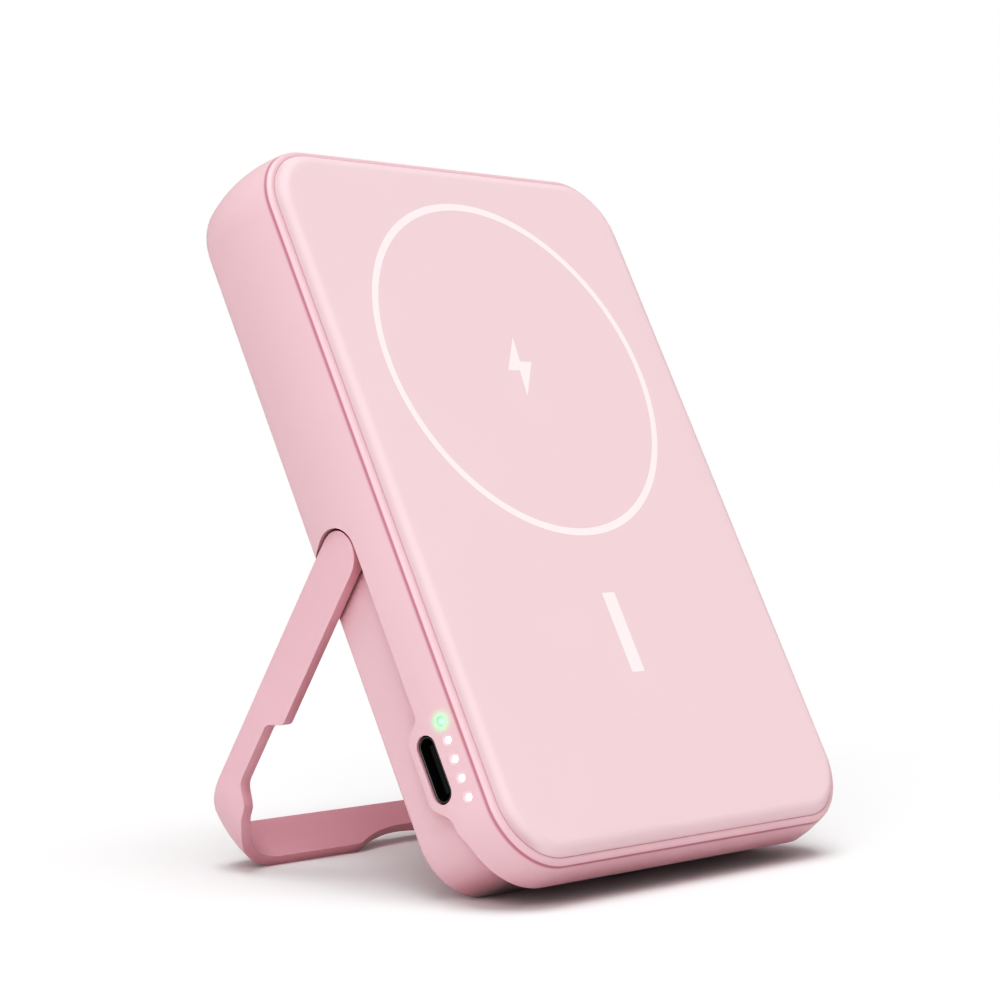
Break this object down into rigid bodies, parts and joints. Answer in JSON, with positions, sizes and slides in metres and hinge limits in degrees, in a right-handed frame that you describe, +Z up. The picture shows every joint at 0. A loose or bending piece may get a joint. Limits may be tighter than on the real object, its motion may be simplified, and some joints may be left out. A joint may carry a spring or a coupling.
{
  "type": "power bank",
  "caption": "Slim wireless power bank with a magnetic charging face, leaning back on a fold-out U-shaped ribbon stand; charging socket and lights in one side.",
  "frame": {"origin": "on the ground under the middle of the opened power bank's bounding box", "axes": "+Z up, +X to the right as the charging face is looked at, +Y away from it, so the face looks along -Y and a little upward"},
  "size_m": [0.0732, 0.0612, 0.0986],
  "materials": {
    "shell": "satin moulded pink with a very fine grain",
    "pad": "soft-touch pale pink",
    "print": "flat off-white print",
    "stand": "pink satin paint over metal",
    "panel": "grey moulded",
    "tray": "black moulded",
    "steel": "plain",
    "magnet": "nickel plated",
    "copper": "enamelled copper",
    "ferrite": "dull dark grey",
    "cell_foil": "silvery foil wrap",
    "foam": "closed foam",
    "board": "green solder mask",
    "chip": "black moulded",
    "socket_metal": "bright",
    "lens_white": "clear, lit white",
    "lens_green": "clear, lit green",
    "led_body": "white",
    "wire_red": "sleeve",
    "wire_black": "sleeve"
  },
  "bodies": {
    "power_bank": {"rear_housing": "shell", "face_pad": "pad", "ring_inlay": "print", "bar_inlay": "print", "bolt_inlay": "print", "front_panel": "panel", "panel_screw_1": "steel", "panel_screw_2": "steel", "panel_screw_3": "steel", "panel_screw_4": "steel", "ring_magnet_1": "magnet", "ring_magnet_2": "magnet", "ring_magnet_3": "magnet", "ring_magnet_4": "magnet", "ring_magnet_5": "magnet", "ring_magnet_6": "magnet", "ring_magnet_7": "magnet", "ring_magnet_8": "magnet", "bar_magnet": "magnet", "magnet_shunt": "steel", "charging_coil": "copper", "coil_lead_1": "copper", "coil_lead_2": "copper", "ferrite_sheet": "ferrite", "coil_tray": "tray", "battery_cell": "cell_foil", "cell_pad": "foam", "cell_board": "board", "main_board": "board", "light_board": "board", "control_chip": "chip", "charge_chip": "chip", "power_inductor": "ferrite", "output_capacitor": "chip", "socket_shell": "socket_metal", "socket_tongue": "chip", "status_lens": "lens_green", "status_led": "led_body", "level_lens_1": "lens_white", "level_lens_2": "lens_white", "level_lens_3": "lens_white", "level_lens_4": "lens_white", "level_led_1": "led_body", "level_led_2": "led_body", "level_led_3": "led_body", "level_led_4": "led_body", "button_switch": "steel", "cell_wire_plus": "wire_red", "cell_wire_minus": "wire_black", "hinge_washer_left": "tray", "hinge_washer_right": "tray"},
    "stand": {"stand_frame": "stand", "hinge_pin_left": "steel", "hinge_pin_right": "steel", "pin_clip_left": "steel", "pin_clip_right": "steel"},
    "button": {"check_button": "shell", "switch_plunger": "tray"}
  },
  "joints": [
    {"name": "stand_hinge", "type": "hinge", "parent": "power_bank", "child": "stand", "pos_m": [0, 0.00029, 0.04356], "axis": [1, 0, 0], "range_deg": [-60, 0]},
    {"name": "button_press", "type": "slide", "parent": "power_bank", "child": "button", "axis": [-1, 0, 0], "range_m": [0, 0.0006], "stiffness_N_per_m": 1500}
  ]
}
